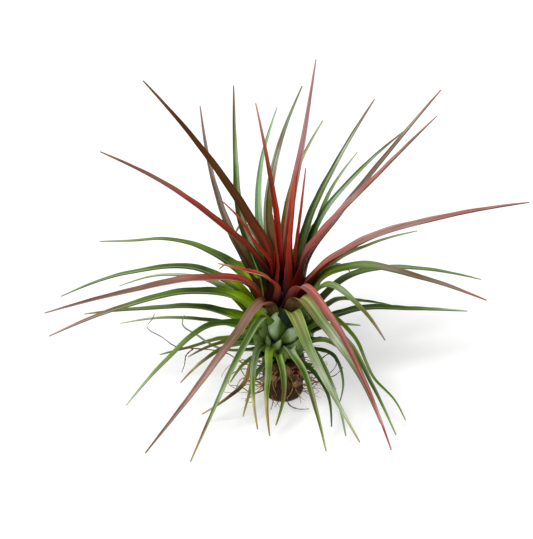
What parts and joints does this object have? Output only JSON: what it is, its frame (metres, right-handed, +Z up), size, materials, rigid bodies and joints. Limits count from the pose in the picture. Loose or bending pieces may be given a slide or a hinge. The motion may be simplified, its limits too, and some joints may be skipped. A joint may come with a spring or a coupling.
{
  "type": "air plant",
  "caption": "Air plant with a rosette of long, narrow, channelled leaves in red, bronze, olive and green on a short stem, standing on its woody root crown.",
  "frame": {"origin": "middle of the flat underside of the root crown, on the surface the plant stands on", "axes": "+Z up through the heart of the rosette, -Y towards whoever looks down into the heart, +X to the right of that view"},
  "size_m": [0.2387, 0.1695, 0.1701],
  "materials": {
    "wood": "dry, fibrous and woody",
    "stem_green": "matte, green leaf bases with a silvery bloom",
    "bronze_leaf": "matte bronze brown leaf with a fine silvery bloom",
    "dark_green_leaf": "matte dark green leaf with a fine silvery bloom",
    "deep_red_leaf": "matte deep red leaf with a fine silvery bloom",
    "green_leaf": "matte green leaf with a fine silvery bloom",
    "lime_leaf": "matte lime green leaf with a fine silvery bloom",
    "mauve_leaf": "matte mauve leaf with a fine silvery bloom",
    "olive_leaf": "matte olive leaf with a fine silvery bloom",
    "pale_green_leaf": "matte pale green leaf with a fine silvery bloom",
    "pink_leaf": "matte pink-red leaf with a fine silvery bloom",
    "red_leaf": "matte red leaf with a fine silvery bloom"
  },
  "bodies": {
    "root": {"root_crown": "wood", "stem": "stem_green", "heart_leaf_1": "red_leaf", "heart_leaf_2": "deep_red_leaf", "heart_leaf_3": "red_leaf", "heart_leaf_4": "red_leaf", "heart_leaf_5": "red_leaf", "heart_leaf_6": "red_leaf", "upper_leaf_1": "bronze_leaf", "upper_leaf_2": "red_leaf", "upper_leaf_3": "olive_leaf", "upper_leaf_4": "olive_leaf", "upper_leaf_5": "pale_green_leaf", "upper_leaf_6": "olive_leaf", "upper_leaf_7": "green_leaf", "upper_leaf_8": "green_leaf", "upper_leaf_9": "green_leaf", "upper_leaf_10": "bronze_leaf", "upper_leaf_11": "green_leaf", "upper_leaf_12": "red_leaf", "side_leaf_1": "deep_red_leaf", "side_leaf_2": "green_leaf", "side_leaf_3": "green_leaf", "side_leaf_4": "olive_leaf", "side_leaf_5": "dark_green_leaf", "side_leaf_6": "dark_green_leaf", "side_leaf_7": "green_leaf", "side_leaf_8": "green_leaf", "side_leaf_9": "green_leaf", "side_leaf_10": "deep_red_leaf", "side_leaf_11": "lime_leaf", "side_leaf_12": "lime_leaf", "side_leaf_13": "green_leaf", "front_leaf_1": "green_leaf", "front_leaf_2": "mauve_leaf", "front_leaf_3": "green_leaf", "front_leaf_4": "pink_leaf", "front_leaf_5": "pale_green_leaf", "front_leaf_6": "pale_green_leaf", "front_leaf_7": "green_leaf", "front_leaf_8": "green_leaf", "front_leaf_9": "green_leaf", "basal_leaf_1": "green_leaf", "basal_leaf_2": "green_leaf", "basal_leaf_3": "green_leaf", "basal_leaf_4": "green_leaf", "basal_leaf_5": "lime_leaf", "basal_leaf_6": "green_leaf", "basal_leaf_7": "green_leaf", "basal_leaf_8": "green_leaf", "basal_leaf_9": "dark_green_leaf", "back_leaf_1": "green_leaf", "back_leaf_2": "green_leaf", "back_leaf_3": "green_leaf", "back_leaf_4": "green_leaf", "back_leaf_5": "green_leaf", "back_leaf_6": "olive_leaf", "back_leaf_7": "green_leaf", "back_leaf_8": "green_leaf"}
  },
  "joints": []
}
